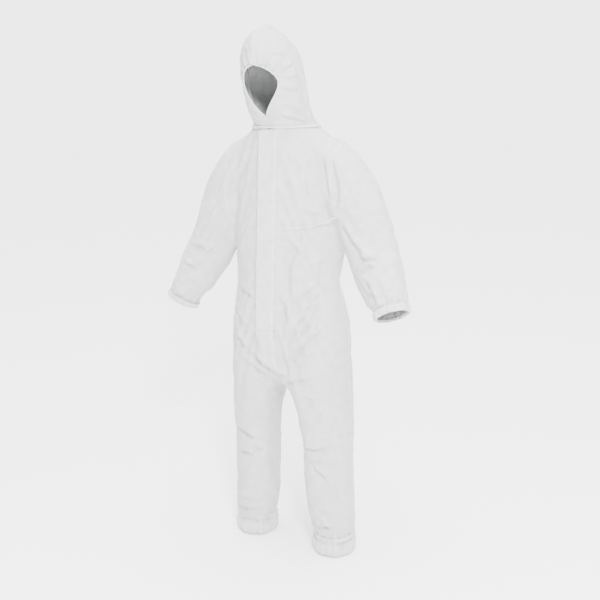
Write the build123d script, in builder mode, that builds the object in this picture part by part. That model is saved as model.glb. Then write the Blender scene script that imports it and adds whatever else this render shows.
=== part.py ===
from build123d import *
import math
import os

os.makedirs("parts", exist_ok=True)

# A hooded one-piece coverall of light nonwoven cloth, standing as if worn by nobody.
# Millimetres, +Z up, the front faces -Y, and +X is the wearer's left side.
# The origin is on the floor, midway between the ankles.

# ---- driving dimensions ----
CLOTH = 1.2  # thickness of a cloth wall
GAP = 0.4  # air between pieces that move apart
HEM = 10.0  # width of a sewn hem at an edge
ELASTIC = 1.0  # thickness of an elastic band
ELASTIC_CLEAR = 0.3  # air between an elastic band and the cloth around it

NECK_Z = 1485.0  # top of the body of the suit
CHEST_SEAM_Z = 1195.0  # seam across the chest and the back
WAIST_Z = 990.0  # middle of the waist elastic
SEAT_TOP_Z = 830.0  # above this the body keeps its shape when a leg lifts
CROTCH_Z = 655.0  # where the two legs part
THIGH_TOP_Z = 620.0
KNEE_Z = 440.0
KNEE_HALF = 74.0  # half the length of the cloth that folds at a knee
ANKLE_Z = 64.0  # top of the ankle hem
SIDE_SEAM_Y = 8.0  # the side seams lie in this plane

# The front of the body is one straight slope, so that the zip is straight.
ZIP_TOP_Z = 1480.0
ZIP_BOTTOM_Z = 850.0
FRONT_Y_AT_ZIP_TOP = -108.8
FRONT_SLOPE = 0.085  # how far the front comes forward per unit of drop

ARMHOLE_X = 178.0
ARMHOLE_Z = 1297.0
ARMHOLE_HALF_HEIGHT = 147.0
ARMHOLE_HALF_WIDTH = 62.0
ELBOW_HALF = 60.0  # half the length of the cloth that folds at an elbow
CUFF = 16.0  # length of the cuff hem

HOOD_START_Z = 1562.0  # the cloth between the neck and this height folds with the hood
HOOD_PEAK_Z = 1793.0
# The face opening lies in one plane that leans forward from the chin to the forehead.
CHIN_Y = -128.0
CHIN_Z = 1512.0
FACE_SLOPE = -0.3926

SLIDER_WIDTH = 8.4
SLIDER_LENGTH = 11.0
PULL_LENGTH = 30.0
FLAP_FREE_X = -40.0  # free edge of the storm flap
FLAP_HINGE_X = 26.5  # line where the storm flap is sewn down


def front_y(z):
    """The front of the body at height z, on the middle line."""
    return FRONT_Y_AT_ZIP_TOP - FRONT_SLOPE * (ZIP_TOP_Z - z)


# Body sections: height, half width, back of the section.
BODY = (
    (830.0, 226.0, 155.0),
    (880.0, 215.0, 152.0),
    (935.0, 202.0, 138.0),
    (990.0, 195.0, 125.0),
    (1045.0, 200.0, 130.0),
    (1100.0, 201.0, 136.0),
    (1195.0, 200.0, 145.0),
    (1300.0, 205.0, 145.0),
    (1380.0, 205.0, 135.0),
    (1420.0, 198.0, 124.0),
    (1445.0, 180.0, 114.0),
    (1465.0, 155.0, 106.0),
    (1485.0, 115.0, 98.0),
)

# Hood sections: height, middle, half width, half depth.
HOOD = (
    (1485.4, -5.0, 112.0, 103.0),
    (1505.0, -18.0, 102.0, 104.0),
    (1540.0, -45.0, 99.0, 110.0),
    (1600.0, -69.0, 98.0, 112.0),
    (1660.0, -84.0, 95.0, 112.0),
    (1700.0, -92.0, 88.0, 110.0),
    (1730.0, -99.0, 75.0, 104.0),
    (1755.0, -105.0, 55.0, 88.0),
    (1778.0, -108.0, 28.0, 55.0),
)

# Leg sections: height, middle of the leg, half width, half depth.
LEG = (
    (655.0, 113.0, 112.0, 142.0),
    (620.0, 124.0, 104.0, 129.0),
    (580.0, 133.0, 97.0, 120.0),
    (514.0, 141.0, 91.5, 109.0),
    (440.0, 148.0, 88.0, 98.6),
    (366.0, 149.0, 89.0, 94.0),
    (250.0, 151.0, 89.0, 88.0),
    (120.0, 158.0, 83.0, 83.0),
    (90.0, 160.0, 80.0, 82.0),
    (64.0, 162.0, 73.0, 75.0),
)

# Arms: the left forearm is bent a little further forward than the right one.
ELBOW = {"left": (310.0, 0.0, 1118.0), "right": (-306.0, 0.0, 1114.0)}
WRIST = {"left": (417.0, -92.0, 916.0), "right": (-420.0, -62.0, 869.0)}
SLEEVE_TOP = (248.5, 6.0, 1270.0)  # middle of the slanted ring where the sleeve starts
SLEEVE_TOP_RADII = (111.0, 84.0)
ELBOW_RADIUS = 86.0
FOREARM_RADIUS = 75.0
WRIST_RADIUS = 62.0
CUFF_RADIUS = 55.0


def front_back(section):
    """A body section as height, middle, half width and half depth."""
    z, half_width, back = section
    front = front_y(z)
    return z, (front + back) / 2, half_width, (back - front) / 2


def level(x, y, z):
    """A level plane whose seam line points to the wearer's left."""
    return Plane(origin=(x, y, z), x_dir=(1, 0, 0), z_dir=(0, 0, 1))


def stations(sections, shrink=0.0, x=0.0):
    """Planes and radii for level sections on one middle line."""
    return [(level(x, y, z), a - shrink, b - shrink) for z, y, a, b in sections]


def leg_stations(side, top, bottom, shrink=0.0):
    """Planes and radii of one leg between two of its listed heights."""
    return [
        (level(side * x, 0, z), a - shrink, b - shrink)
        for z, x, a, b in LEG
        if bottom <= z <= top
    ]


def tube(outer, wall=CLOTH):
    """An open-ended cloth tube through elliptical rings."""
    with BuildPart() as shell:
        for plane, a, b in outer:
            with BuildSketch(plane):
                Ellipse(a, b)
        loft(ruled=True)
        for plane, a, b in outer:
            with BuildSketch(plane):
                Ellipse(a - wall, b - wall)
        loft(ruled=True, mode=Mode.SUBTRACT)
    return shell.part


def unit(v):
    """The same direction with length 1."""
    length = math.sqrt(sum(c * c for c in v))
    return tuple(c / length for c in v)


def along(start, direction, distance):
    """The point that lies a distance away from start."""
    return tuple(p + distance * d for p, d in zip(start, direction))


def save(solid, name):
    """Label one finished piece and write it."""
    solid.label = name
    export_step(solid, f"parts/{name}.step")


# ---- body of the suit ----
body = tube(stations([front_back(s) for s in BODY]))
chest_plane = Plane.XY.offset(CHEST_SEAM_Z)
side_plane = Plane(origin=(0, SIDE_SEAM_Y, 0), x_dir=(1, 0, 0), z_dir=(0, -1, 0))
SLOT_HALF = 6.5  # half the width of the slot in front of the zip

with BuildPart() as armholes:
    for side in (1, -1):
        with BuildSketch(Plane.XY.offset(ARMHOLE_Z - ARMHOLE_HALF_HEIGHT - 8)):
            with Locations((side * (ARMHOLE_X + 50), 0)):
                Rectangle(100, 400)
        extrude(amount=400)

with BuildPart() as zip_slot:
    with BuildSketch(Plane.XY.offset(SEAT_TOP_Z - 5)):
        with Locations((0, -120)):
            Rectangle(2 * SLOT_HALF, 160)
    extrude(amount=NECK_Z - SEAT_TOP_Z + 10)

with BuildPart() as front:
    add(body)
    split(bisect_by=side_plane, keep=Keep.TOP)
    add(armholes.part, mode=Mode.SUBTRACT)
    add(zip_slot.part, mode=Mode.SUBTRACT)

with BuildPart() as back:
    add(body)
    split(bisect_by=side_plane, keep=Keep.BOTTOM)
    add(armholes.part, mode=Mode.SUBTRACT)

for side, keep in (("left", Keep.TOP), ("right", Keep.BOTTOM)):
    with BuildPart() as front_panel:
        add(front.part)
        split(bisect_by=Plane.YZ, keep=keep)
        split(bisect_by=chest_plane, keep=Keep.BOTTOM)
    save(front_panel.part, f"front_panel_{side}")

    with BuildPart() as chest_panel:
        add(front.part)
        split(bisect_by=Plane.YZ, keep=keep)
        split(bisect_by=chest_plane, keep=Keep.TOP)
    save(chest_panel.part, f"chest_panel_{side}")

with BuildPart() as back_panel:
    add(back.part)
    split(bisect_by=chest_plane, keep=Keep.BOTTOM)
save(back_panel.part, "back_panel")

with BuildPart() as back_yoke:
    add(back.part)
    split(bisect_by=chest_plane, keep=Keep.TOP)
save(back_yoke.part, "back_yoke")

# The elastic lies inside the waist and runs round the back from side seam to side seam.
WAIST_BAND = 22.0
band_drop = CLOTH + ELASTIC_CLEAR + 1.0
with BuildPart() as waist_elastic:
    z, middle, half_width, half_depth = front_back(BODY[3])
    with BuildSketch(Plane.XY.offset(WAIST_Z - WAIST_BAND / 2)):
        with Locations((0, middle)):
            Ellipse(half_width - band_drop, half_depth - band_drop)
            Ellipse(
                half_width - band_drop - ELASTIC,
                half_depth - band_drop - ELASTIC,
                mode=Mode.SUBTRACT,
            )
    extrude(amount=WAIST_BAND)
    split(bisect_by=side_plane, keep=Keep.BOTTOM)
save(waist_elastic.part, "waist_elastic")

# ---- seat, where the body parts into two legs ----
SEAT = (
    (SEAT_TOP_Z - GAP, *front_back(BODY[0])[1:]),
    (745.0, -4.0, 229.0, 156.0),
    (CROTCH_Z, 0.0, 226.0, 142.5),
)


def leg_roots(side):
    """One leg carried up inside the seat, which rounds the seat out over each leg."""
    inside = (level(side * 113, SEAT[0][1], SEAT[0][0]), 95.0, 120.0)
    return [inside] + leg_stations(side, CROTCH_Z, THIGH_TOP_Z)


with BuildPart() as seat:
    for z, y, a, b in SEAT:
        with BuildSketch(level(0, y, z)):
            Ellipse(a, b)
    loft(ruled=True)
    for side in (1, -1):
        for plane, a, b in leg_roots(side):
            with BuildSketch(plane):
                Ellipse(a, b)
        loft(ruled=True)
    with BuildSketch(Plane.XY.offset(THIGH_TOP_Z - 5)):
        Rectangle(600, 400)
    extrude(amount=5 + GAP, mode=Mode.SUBTRACT)
    for z, y, a, b in SEAT[:2] + ((CROTCH_Z + CLOTH, 0.0, 226.0, 142.5),):
        with BuildSketch(level(0, y, z)):
            Ellipse(a - CLOTH, b - CLOTH)
    loft(ruled=True, mode=Mode.SUBTRACT)
    for side in (1, -1):
        for plane, a, b in leg_roots(side):
            with BuildSketch(plane):
                Ellipse(a - CLOTH, b - CLOTH)
        loft(ruled=True, mode=Mode.SUBTRACT)
save(seat.part, "seat_section")

# ---- legs ----
KNEE_TOP = KNEE_Z + KNEE_HALF
KNEE_BOTTOM = KNEE_Z - KNEE_HALF
HEM_RINGS = ((62.0, 162.0, 71.0, 73.0), (50.0, 162.5, 67.0, 69.0), (30.0, 163.0, 75.0, 77.0),
             (12.0, 163.0, 74.0, 76.0), (0.0, 163.0, 66.0, 68.0))
for name, side in (("left", 1), ("right", -1)):
    save(tube(leg_stations(side, THIGH_TOP_Z, KNEE_TOP)), f"thigh_{name}")

    top, middle, bottom = leg_stations(side, KNEE_TOP, KNEE_BOTTOM)
    knee = [
        (top[0].offset(-GAP), top[1], top[2]),
        middle,
        (bottom[0].offset(GAP), bottom[1], bottom[2]),
    ]
    save(tube(knee), f"knee_section_{name}")

    save(tube(leg_stations(side, KNEE_BOTTOM, ANKLE_Z)), f"shin_{name}")

    rings = [(level(side * x, 0, z), a, b) for z, x, a, b in HEM_RINGS]
    save(tube(rings), f"ankle_hem_{name}")

    # The ankle elastic is sewn inside the narrowest ring of the hem.
    with BuildPart() as ankle_elastic:
        with BuildSketch(level(side * 162.5, 0, 45)):
            inset = CLOTH + ELASTIC_CLEAR
            Ellipse(67.0 - inset, 69.0 - inset)
            Ellipse(67.0 - inset - ELASTIC, 69.0 - inset - ELASTIC, mode=Mode.SUBTRACT)
        extrude(amount=10)
    save(ankle_elastic.part, f"ankle_elastic_{name}")

# ---- sleeves ----
for name, side in (("left", 1), ("right", -1)):
    elbow = ELBOW[name]
    wrist = WRIST[name]
    start = (side * SLEEVE_TOP[0], SLEEVE_TOP[1], SLEEVE_TOP[2])
    upper = unit([e - s for e, s in zip(elbow, start)])
    lower = unit([w - e for w, e in zip(wrist, elbow)])
    bend = unit([u + v for u, v in zip(upper, lower)])

    armhole = Plane(
        origin=(side * (ARMHOLE_X + GAP), SLEEVE_TOP[1], ARMHOLE_Z),
        x_dir=(0, 0, 1),
        z_dir=(side, 0, 0),
    )
    cap = Plane(origin=start, x_dir=(side * 0.328, 0, 0.945), z_dir=(side * 0.945, 0, -0.328))
    halfway = Plane(
        origin=(side * 216, SLEEVE_TOP[1], 1285),
        x_dir=(side * 0.17, 0, 1),
        z_dir=(side, 0, -0.17),
    )
    shoulder = [
        (armhole, ARMHOLE_HALF_HEIGHT, ARMHOLE_HALF_WIDTH),
        (halfway, 131.0, 75.0),
        (cap.offset(-GAP), *SLEEVE_TOP_RADII),
    ]
    save(tube(shoulder), f"shoulder_section_{name}")

    def seam_out(origin, direction):
        """A plane square to the sleeve, its seam line in the upright plane of the arm."""
        x_dir = unit((-direction[2], 0, direction[0]))
        return Plane(origin=origin, x_dir=x_dir, z_dir=direction)

    upper_end = seam_out(along(elbow, upper, -ELBOW_HALF), upper)
    lower_start = seam_out(along(elbow, lower, ELBOW_HALF), lower)
    save(tube([(cap, *SLEEVE_TOP_RADII), (upper_end, ELBOW_RADIUS, ELBOW_RADIUS)]),
         f"upper_sleeve_{name}")

    fold = [
        (upper_end.offset(GAP), ELBOW_RADIUS, ELBOW_RADIUS),
        (seam_out(elbow, bend), ELBOW_RADIUS + 1, ELBOW_RADIUS + 1),
        (lower_start.offset(-GAP), ELBOW_RADIUS - 3, ELBOW_RADIUS - 3),
    ]
    save(tube(fold), f"elbow_section_{name}")

    length = math.dist(elbow, wrist)
    middle = seam_out(along(elbow, lower, (ELBOW_HALF + length - CUFF) / 2), lower)
    cuff_top = seam_out(along(elbow, lower, length - CUFF), lower)
    cuff_ring = seam_out(along(elbow, lower, length - 0.55 * CUFF), lower)
    cuff_end = seam_out(wrist, lower)
    sleeve = [
        (lower_start, ELBOW_RADIUS - 3, ELBOW_RADIUS - 3),
        (middle, FOREARM_RADIUS, FOREARM_RADIUS),
        (cuff_top, WRIST_RADIUS, WRIST_RADIUS),
    ]
    save(tube(sleeve), f"lower_sleeve_{name}")

    hem = [
        (cuff_top.offset(0.01), WRIST_RADIUS, WRIST_RADIUS),
        (cuff_ring, CUFF_RADIUS, CUFF_RADIUS),
        (cuff_end, CUFF_RADIUS + 1, CUFF_RADIUS + 1),
    ]
    save(tube(hem), f"cuff_hem_{name}")

    # The cuff elastic is a narrow band inside the hem.
    inset = CLOTH + ELASTIC_CLEAR
    with BuildPart() as cuff_elastic:
        with BuildSketch(cuff_ring):
            Circle(CUFF_RADIUS - inset)
            Circle(CUFF_RADIUS - inset - ELASTIC, mode=Mode.SUBTRACT)
        extrude(amount=0.5 * CUFF)
    save(cuff_elastic.part, f"cuff_elastic_{name}")

# ---- hood ----
face_length = math.hypot(1, FACE_SLOPE)
face_normal = (0, -1 / face_length, FACE_SLOPE / face_length)


def face_plane(depth):
    """The plane of the face opening, moved back into the hood by depth."""
    shift = -depth
    origin = (0, CHIN_Y + shift * face_normal[1], CHIN_Z + shift * face_normal[2])
    return Plane(origin=origin, x_dir=(1, 0, 0), z_dir=face_normal)


def hood_shell(outer_shrink, thickness):
    """The whole hood as a closed-topped shell, before the face is cut out."""
    inner_shrink = outer_shrink + thickness
    with BuildPart() as shell:
        for plane, a, b in stations(HOOD, outer_shrink):
            with BuildSketch(plane):
                Ellipse(a, b)
        with BuildSketch(level(0, -108, HOOD_PEAK_Z - outer_shrink)):
            Ellipse(8, 16)
        loft(ruled=True)
        for plane, a, b in stations(HOOD, inner_shrink):
            with BuildSketch(plane):
                Ellipse(a, b)
        with BuildSketch(level(0, -108, HOOD_PEAK_Z - outer_shrink - 2 * thickness)):
            Ellipse(6, 13)
        loft(ruled=True, mode=Mode.SUBTRACT)
    return shell.part


hood_cloth = hood_shell(0.0, CLOTH)

with BuildPart() as face_hem:
    add(hood_cloth)
    split(bisect_by=face_plane(0), keep=Keep.BOTTOM)
    split(bisect_by=face_plane(HEM), keep=Keep.TOP)
save(face_hem.part, "face_hem")

with BuildPart() as face_elastic:
    add(hood_shell(CLOTH + ELASTIC_CLEAR, ELASTIC))
    split(bisect_by=face_plane(2), keep=Keep.BOTTOM)
    split(bisect_by=face_plane(HEM - 2), keep=Keep.TOP)
save(face_elastic.part, "face_elastic")

with BuildPart() as collar:
    add(hood_cloth)
    split(bisect_by=face_plane(HEM + GAP), keep=Keep.BOTTOM)
    split(bisect_by=Plane.XY.offset(HOOD_START_Z - GAP), keep=Keep.BOTTOM)
save(collar.part, "collar_section")

for side, keep in (("left", Keep.TOP), ("right", Keep.BOTTOM)):
    with BuildPart() as hood_panel:
        add(hood_cloth)
        split(bisect_by=face_plane(HEM), keep=Keep.BOTTOM)
        split(bisect_by=Plane.XY.offset(HOOD_START_Z), keep=Keep.TOP)
        split(bisect_by=Plane.YZ, keep=keep)
    save(hood_panel.part, f"hood_panel_{side}")

# ---- zip and storm flap ----
slope_length = math.hypot(1, FRONT_SLOPE)
zip_normal = (0, -1 / slope_length, FRONT_SLOPE / slope_length)
ZIP_LENGTH = (ZIP_TOP_Z - ZIP_BOTTOM_Z) * slope_length


def zip_plane(height):
    """A plane on the front slope, with its origin at the top of the zip and height mm off it."""
    origin = (0, FRONT_Y_AT_ZIP_TOP + height * zip_normal[1], ZIP_TOP_Z + height * zip_normal[2])
    return Plane(origin=origin, x_dir=(1, 0, 0), z_dir=zip_normal)


TAPE_WIDTH = 12.0
TAPE_BACK = -2.8  # the tape lies behind the cloth edges
TAPE_THICKNESS = 0.6
TEETH_INNER = 0.5
TEETH_OUTER = 3.0
for name, side in (("left", 1), ("right", -1)):
    with BuildPart() as zip_tape:
        with BuildSketch(zip_plane(TAPE_BACK)):
            with Locations((side * (TEETH_OUTER + TAPE_WIDTH / 2), -ZIP_LENGTH / 2)):
                Rectangle(TAPE_WIDTH, ZIP_LENGTH)
        extrude(amount=TAPE_THICKNESS)
    save(zip_tape.part, f"zip_tape_{name}")

    with BuildPart() as zip_teeth:
        with BuildSketch(zip_plane(TAPE_BACK - 0.6)):
            with Locations((side * (TEETH_INNER + TEETH_OUTER) / 2, -ZIP_LENGTH / 2)):
                Rectangle(TEETH_OUTER - TEETH_INNER, ZIP_LENGTH - 8)
        extrude(amount=TAPE_THICKNESS + 1.2)
    save(zip_teeth.part, f"zip_teeth_{name}")

# Two small stops close the top of the teeth and a wider one the bottom.
with BuildPart() as zip_stops:
    with BuildSketch(zip_plane(TAPE_BACK - 0.6)):
        with Locations((-1.8, -2), (1.8, -2)):
            Rectangle(2.4, 3.8)
        with Locations((0, -ZIP_LENGTH + 1.9)):
            Rectangle(6.0, 3.8)
    extrude(amount=TAPE_THICKNESS + 1.4)
save(zip_stops.part, "zip_stops")

# The slider has a plate on each side of the teeth and a thin wedge between them.
SLIDER_TOP = -5.0  # how far below the top of the zip the closed slider starts
FRONT_PLATE = -1.1
BACK_PLATE = -5.4
WEDGE = 0.6
POST_DROP = 4.0  # the post of the pull, below the top of the slider
POST_RADIUS = 1.2
POST_HEAD_RADIUS = 2.2
with BuildPart() as zip_slider:
    with BuildSketch(zip_plane(FRONT_PLATE)):
        with Locations((0, SLIDER_TOP - SLIDER_LENGTH / 2)):
            RectangleRounded(SLIDER_WIDTH, SLIDER_LENGTH, 2)
    extrude(amount=1.6)
    with BuildSketch(zip_plane(BACK_PLATE)):
        with Locations((0, SLIDER_TOP - SLIDER_LENGTH / 2)):
            RectangleRounded(SLIDER_WIDTH, SLIDER_LENGTH, 2)
    extrude(amount=1.4)
    with BuildSketch(zip_plane(BACK_PLATE)):
        with Locations((0, SLIDER_TOP - 2.5)):
            Rectangle(WEDGE, 4)
    extrude(amount=FRONT_PLATE - BACK_PLATE + 0.5)
    with BuildSketch(zip_plane(0.4)):
        with Locations((0, SLIDER_TOP - POST_DROP)):
            Circle(POST_RADIUS)
    extrude(amount=2.3)
    with BuildSketch(zip_plane(2.4)):
        with Locations((0, SLIDER_TOP - POST_DROP)):
            Circle(POST_HEAD_RADIUS)
    extrude(amount=0.5)
save(zip_slider.part, "zip_slider")

# The pull is a tab with an eye that turns on the headed post of the slider.
PULL_BACK = 1.0
PULL_THICKNESS = 1.1
PULL_WIDTH = 5.6
with BuildPart() as zip_pull:
    with BuildSketch(zip_plane(PULL_BACK)):
        with Locations((0, SLIDER_TOP - POST_DROP + PULL_WIDTH / 2 - PULL_LENGTH / 2)):
            RectangleRounded(PULL_WIDTH, PULL_LENGTH, PULL_WIDTH / 2 - 0.1)
        with Locations((0, SLIDER_TOP - POST_DROP)):
            Circle(POST_RADIUS + 0.4, mode=Mode.SUBTRACT)
        with Locations((0, SLIDER_TOP - POST_DROP - 0.55 * PULL_LENGTH)):
            RectangleRounded(2.2, 0.4 * PULL_LENGTH, 1.0, mode=Mode.SUBTRACT)
    extrude(amount=PULL_THICKNESS)
save(zip_pull.part, "zip_pull")

# The storm flap covers the zip. Its sewn edge bends down to the cloth of the wearer's left.
FLAP_INSIDE = 3.4
FLAP_TOP = 0.0
FLAP_LENGTH = (ZIP_TOP_Z - SEAT_TOP_Z - 4) * slope_length
with BuildPart() as storm_flap:
    with BuildSketch(zip_plane(FLAP_INSIDE)):
        with Locations(((FLAP_FREE_X + FLAP_HINGE_X) / 2, FLAP_TOP - FLAP_LENGTH / 2)):
            Rectangle(FLAP_HINGE_X - FLAP_FREE_X, FLAP_LENGTH)
    extrude(amount=CLOTH)
    with BuildSketch(zip_plane(0.0)):
        with Locations((FLAP_HINGE_X - 0.6, FLAP_TOP - FLAP_LENGTH / 2)):
            Rectangle(CLOTH, FLAP_LENGTH)
    extrude(amount=FLAP_INSIDE + 0.1)
save(storm_flap.part, "storm_flap")

# Below the zip the flap is sewn shut and lies on the front of the seat.
TAIL_TOP_Z = SEAT_TOP_Z - 2
TAIL_BOTTOM_Z = 700.0
TAIL_LIFT = 1.5
tail_rings = ((TAIL_TOP_Z, front_back(BODY[0])[1], 226.0, front_back(BODY[0])[3]), *SEAT[1:])
with BuildPart() as flap_tail:
    for z, y, a, b in tail_rings:
        with BuildSketch(level(0, y, z)):
            Ellipse(a + TAIL_LIFT + CLOTH, b + TAIL_LIFT + CLOTH)
    loft(ruled=True)
    for z, y, a, b in tail_rings:
        with BuildSketch(level(0, y, z)):
            Ellipse(a + TAIL_LIFT, b + TAIL_LIFT)
    loft(ruled=True, mode=Mode.SUBTRACT)
    with BuildSketch(Plane.XY.offset(TAIL_BOTTOM_Z)):
        with Locations(((FLAP_FREE_X + FLAP_HINGE_X) / 2, -150)):
            Rectangle(FLAP_HINGE_X - FLAP_FREE_X, 200)
    extrude(amount=TAIL_TOP_Z - TAIL_BOTTOM_Z, mode=Mode.INTERSECT)
save(flap_tail.part, "flap_tail")
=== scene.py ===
import math

import bmesh
import bpy
import numpy as np
from mathutils import Matrix, Vector, noise
from mathutils.bvhtree import BVHTree
from mathutils.kdtree import KDTree


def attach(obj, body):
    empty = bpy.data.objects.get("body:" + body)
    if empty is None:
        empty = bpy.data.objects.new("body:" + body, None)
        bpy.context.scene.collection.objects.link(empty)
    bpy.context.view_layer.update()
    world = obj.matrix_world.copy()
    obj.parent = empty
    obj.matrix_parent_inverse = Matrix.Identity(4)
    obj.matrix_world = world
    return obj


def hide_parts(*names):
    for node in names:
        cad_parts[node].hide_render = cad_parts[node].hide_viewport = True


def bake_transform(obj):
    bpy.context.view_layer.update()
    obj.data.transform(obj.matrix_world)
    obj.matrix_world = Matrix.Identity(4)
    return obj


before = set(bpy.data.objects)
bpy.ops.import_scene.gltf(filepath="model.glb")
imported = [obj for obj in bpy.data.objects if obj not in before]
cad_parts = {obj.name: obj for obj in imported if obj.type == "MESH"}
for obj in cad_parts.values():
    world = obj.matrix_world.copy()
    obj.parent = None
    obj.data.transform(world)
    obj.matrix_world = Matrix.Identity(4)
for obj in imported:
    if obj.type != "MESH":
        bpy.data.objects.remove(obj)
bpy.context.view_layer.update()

# ---------------------------------------------------------------- camera
# All but the distance were fitted to the outline in the photo by a helper program, then rounded.
CAMERA_AZIMUTH = math.radians(29.7)
CAMERA_DISTANCE = 2.6
CAMERA_HEIGHT = 1.55
CAMERA_PITCH = math.radians(14.0)
CAMERA_ROLL = math.radians(-0.97)
CAMERA_SIDE = 0.0323
SENSOR_WIDTH = 36  # millimetres, as the lens
CAMERA_LENS = 46.74


def make_camera():
    sin_a, cos_a = math.sin(CAMERA_AZIMUTH), math.cos(CAMERA_AZIMUTH)
    right = Vector((cos_a, sin_a, 0))
    back = Vector((sin_a, -cos_a, 0))
    data = bpy.data.cameras.new("camera")
    data.lens = CAMERA_LENS
    data.sensor_width = SENSOR_WIDTH
    camera = bpy.data.objects.new("camera", data)
    bpy.context.scene.collection.objects.link(camera)
    camera.location = back * CAMERA_DISTANCE + right * CAMERA_SIDE + Vector((0, 0, CAMERA_HEIGHT))
    ahead = -back * math.cos(CAMERA_PITCH) - Vector((0, 0, math.sin(CAMERA_PITCH)))
    turn = ahead.to_track_quat("-Z", "Y").to_matrix()
    camera.rotation_euler = (turn @ Matrix.Rotation(CAMERA_ROLL, 3, "Z")).to_euler()
    bpy.context.scene.camera = camera


make_camera()

# ---------------------------------------------------------------- the suit's sections, metres
def front_y(z):
    """The straight front of the body, along the zip."""
    return -0.1088 - 0.085 * (1.480 - z)


# height, half width, back
BODY = (
    (0.880, 0.215, 0.152), (0.935, 0.202, 0.138), (0.990, 0.195, 0.125), (1.045, 0.200, 0.130),
    (1.100, 0.203, 0.136), (1.195, 0.202, 0.145), (1.300, 0.200, 0.145), (1.380, 0.198, 0.135),
    (1.420, 0.190, 0.124), (1.445, 0.172, 0.114), (1.465, 0.148, 0.106), (1.485, 0.113, 0.098),
    (1.505, 0.100, 0.084),
)
SEAT = ((0.655, 0.0, 0.218, 0.140), (0.745, -0.004, 0.226, 0.153), (0.830, -0.0045, 0.224, 0.158))
LEG = (
    (0.800, 0.113, 0.090, 0.120), (0.700, 0.113, 0.107, 0.143), (0.655, 0.1135, 0.110, 0.140),
    (0.620, 0.124, 0.104, 0.128), (0.580, 0.133, 0.097, 0.119), (0.514, 0.141, 0.0915, 0.108),
    (0.440, 0.148, 0.088, 0.098), (0.366, 0.149, 0.089, 0.094), (0.250, 0.151, 0.089, 0.088),
    (0.120, 0.158, 0.085, 0.085), (0.090, 0.160, 0.083, 0.084), (0.068, 0.162, 0.077, 0.079),
    (0.052, 0.1625, 0.070, 0.072), (0.034, 0.163, 0.075, 0.077), (0.012, 0.163, 0.073, 0.075),
    (-0.02, 0.163, 0.066, 0.068),
)
ELBOW = {1: (0.310, 0.0, 1.118), -1: (-0.306, 0.0, 1.114)}
WRIST = {1: (0.417, -0.092, 0.916), -1: (-0.420, -0.062, 0.869)}
SIDES = {1: "left", -1: "right"}
ANKLE_X = 0.162
BODY_SIDE = 0.2075  # the body reaches no further out beside the sleeves
NECK_CUT, ANKLE_CUT = 1.488, 0.060  # heights where the skin is opened
SLOT_HALF, SLOT_BOTTOM = 0.0065, 0.852  # the opening over the zip


def arm_top(side):
    """The middle of the sleeve where it leaves the shoulder."""
    return np.array((side * 0.2485, 0.006, 1.270))


def unit(v):
    v = np.array(v, float)
    return v / np.linalg.norm(v)


def closed_tube(rings, around=56):
    """Vertices and faces of a closed tube through rings of (centre, u, v)."""
    angle = np.linspace(0, 2 * np.pi, around, endpoint=False)
    cos, sin = np.cos(angle)[:, None], np.sin(angle)[:, None]
    points = [np.array(c) + cos * np.array(u) + sin * np.array(v) for c, u, v in rings]
    faces = []
    for i in range(len(rings) - 1):
        for j in range(around):
            k = (j + 1) % around
            faces.append((i * around + j, i * around + k, (i + 1) * around + k, (i + 1) * around + j))
    faces.append(tuple(range(around))[::-1])
    faces.append(tuple(range((len(rings) - 1) * around, len(rings) * around)))
    return np.concatenate(points), faces


def smooth_rings(rows, steps):
    """More sections between the given ones, on a smooth curve through them."""
    rows = np.array(rows, float)
    at = np.arange(len(rows))
    fine = np.linspace(0, len(rows) - 1, (len(rows) - 1) * steps + 1)
    out = []
    for k in range(rows.shape[1]):
        slope = np.gradient(rows[:, k], at)
        i = np.minimum(fine.astype(int), len(rows) - 2)
        t = fine - i
        h00, h10 = 2 * t**3 - 3 * t**2 + 1, t**3 - 2 * t**2 + t
        h01, h11 = -2 * t**3 + 3 * t**2, t**3 - t**2
        out.append(h00 * rows[i, k] + h10 * slope[i] + h01 * rows[i + 1, k] + h11 * slope[i + 1])
    return np.stack(out, 1)


def body_rings():
    rows = [(z, y, a, b) for z, y, a, b in SEAT]
    for z, a, back in BODY:
        front = front_y(z) if z < 1.49 else -0.112
        rows.append((z, (front + back) / 2, a, (back - front) / 2))
    return [((0, y, z), (a, 0, 0), (0, b, 0)) for z, y, a, b in smooth_rings(rows, 3)]


def leg_rings(side):
    rows = smooth_rings(LEG, 3)
    return [((side * x, 0, z), (a, 0, 0), (0, b, 0)) for z, x, a, b in rows[::-1]]


def sleeve_rings(side):
    elbow, wrist = np.array(ELBOW[side]), np.array(WRIST[side])
    lower = unit(wrist - elbow)
    shoulder = np.array((side * 0.172, 0.006, 1.372))
    centres = [
        np.array((side * 0.120, 0.004, 1.385)), shoulder, arm_top(side), elbow,
        elbow + 0.5 * (wrist - elbow), wrist - 0.030 * lower, wrist - 0.012 * lower, wrist,
        wrist + 0.02 * lower,
    ]
    heights = (0.070, 0.082, 0.086, 0.087, 0.078, 0.066, 0.0575, 0.057, 0.056)
    depths = (0.075, 0.088, 0.087, 0.086, 0.077, 0.066, 0.0575, 0.057, 0.056)
    rows = smooth_rings([(*c, h, d) for c, h, d in zip(centres, heights, depths)], 4)
    rings = []
    for i, row in enumerate(rows):
        ahead = unit(rows[min(i + 1, len(rows) - 1), :3] - rows[max(i - 1, 0), :3])
        depth_way = unit(np.array((0, 1, 0)) - ahead[1] * ahead)
        up = np.cross(depth_way, ahead)
        rings.append((row[:3], up * row[3], depth_way * row[4]))
    return rings


def mesh_object(name, points, faces):
    mesh = bpy.data.meshes.new(name)
    mesh.from_pydata([tuple(p) for p in points], [], faces)
    mesh.update()
    obj = bpy.data.objects.new(name, mesh)
    bpy.context.scene.collection.objects.link(obj)
    return obj


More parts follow.
